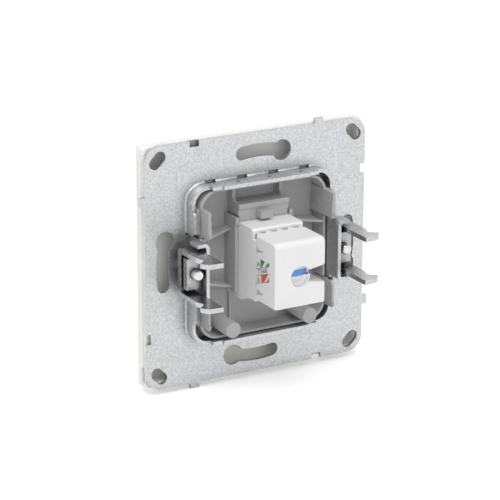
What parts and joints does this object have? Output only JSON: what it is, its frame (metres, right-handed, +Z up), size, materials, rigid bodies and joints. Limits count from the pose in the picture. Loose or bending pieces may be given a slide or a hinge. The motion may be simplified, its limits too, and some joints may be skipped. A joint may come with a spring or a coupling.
{
  "type": "flush wall network socket",
  "caption": "Flush wall socket for one network plug: square cover over a steel support plate with spreader claws and a snap-in jack whose rear cap takes the cable.",
  "frame": {"origin": "centre of the fixing-screw circle, on the rear face of the steel plate that meets the wall", "axes": "+X right as seen from the room, +Y into the wall, +Z up"},
  "size_m": [0.0734, 0.0312, 0.0734],
  "materials": {
    "galvanised_steel": "mottled zinc, satin",
    "cover_plastic": "smooth, lightly glossy",
    "holder_plastic": "fine matte moulding",
    "claw_steel": "bright zinc, satin",
    "screw_steel": "bright zinc",
    "jack_plastic": "smooth moulding",
    "board_laminate": "coated laminate",
    "terminal_plastic": "smooth moulding",
    "cap_plastic": "smooth moulding",
    "guide_plastic": "smooth moulding",
    "contact_gold": "gold plated",
    "terminal_bronze": "tinned bronze"
  },
  "bodies": {
    "socket": {"support_plate": "galvanised_steel", "jack_holder": "holder_plastic", "jack_body": "jack_plastic", "contact_comb": "jack_plastic", "circuit_board": "board_laminate", "terminal_block": "terminal_plastic", "contact_spring_1": "contact_gold", "contact_spring_2": "contact_gold", "contact_spring_3": "contact_gold", "contact_spring_4": "contact_gold", "contact_spring_5": "contact_gold", "contact_spring_6": "contact_gold", "contact_spring_7": "contact_gold", "contact_spring_8": "contact_gold", "terminal_1": "terminal_bronze", "terminal_2": "terminal_bronze", "terminal_3": "terminal_bronze", "terminal_4": "terminal_bronze", "terminal_5": "terminal_bronze", "terminal_6": "terminal_bronze", "terminal_7": "terminal_bronze", "terminal_8": "terminal_bronze"},
    "cover": {"cover_plate": "cover_plastic"},
    "cap": {"rear_cap": "cap_plastic", "wire_guide": "guide_plastic"},
    "screw_left": {"claw_screw_left": "screw_steel"},
    "nut_left": {"clamp_nut_left": "claw_steel"},
    "claw_left": {"claw_left": "claw_steel"},
    "screw_right": {"claw_screw_right": "screw_steel"},
    "nut_right": {"clamp_nut_right": "claw_steel"},
    "claw_right": {"claw_right": "claw_steel"}
  },
  "joints": [
    {"name": "cover_pull", "type": "slide", "parent": "socket", "child": "cover", "axis": [0, -1, 0], "range_m": [0, 0.008]},
    {"name": "cap_pull", "type": "slide", "parent": "socket", "child": "cap", "axis": [0, 1, 0], "range_m": [0, 0.012]},
    {"name": "screw_left_turn", "type": "hinge", "parent": "socket", "child": "screw_left", "pos_m": [-0.0238, 0, 0], "axis": [0, 1, 0], "range_deg": [0, 1800]},
    {"name": "nut_left_travel", "type": "slide", "parent": "socket", "child": "nut_left", "axis": [0, -1, 0], "range_m": [0, 0.0025]},
    {"name": "claw_left_spread", "type": "hinge", "parent": "nut_left", "child": "claw_left", "pos_m": [-0.0263, 0.0041, 0], "axis": [0, 0, 1], "range_deg": [0, 15]},
    {"name": "screw_right_turn", "type": "hinge", "parent": "socket", "child": "screw_right", "pos_m": [0.0238, 0, 0], "axis": [0, 1, 0], "range_deg": [0, 1800]},
    {"name": "nut_right_travel", "type": "slide", "parent": "socket", "child": "nut_right", "axis": [0, -1, 0], "range_m": [0, 0.0025]},
    {"name": "claw_right_spread", "type": "hinge", "parent": "nut_right", "child": "claw_right", "pos_m": [0.0263, 0.0041, 0], "axis": [0, 0, -1], "range_deg": [0, 15]}
  ],
  "couplings": [
    {"joint": "screw_left_turn", "follows": "nut_left_travel", "rad_per_m": 12566},
    {"joint": "claw_left_spread", "follows": "nut_left_travel", "rad_per_m": 104.7},
    {"joint": "screw_right_turn", "follows": "nut_right_travel", "rad_per_m": 12566},
    {"joint": "claw_right_spread", "follows": "nut_right_travel", "rad_per_m": 104.7}
  ]
}
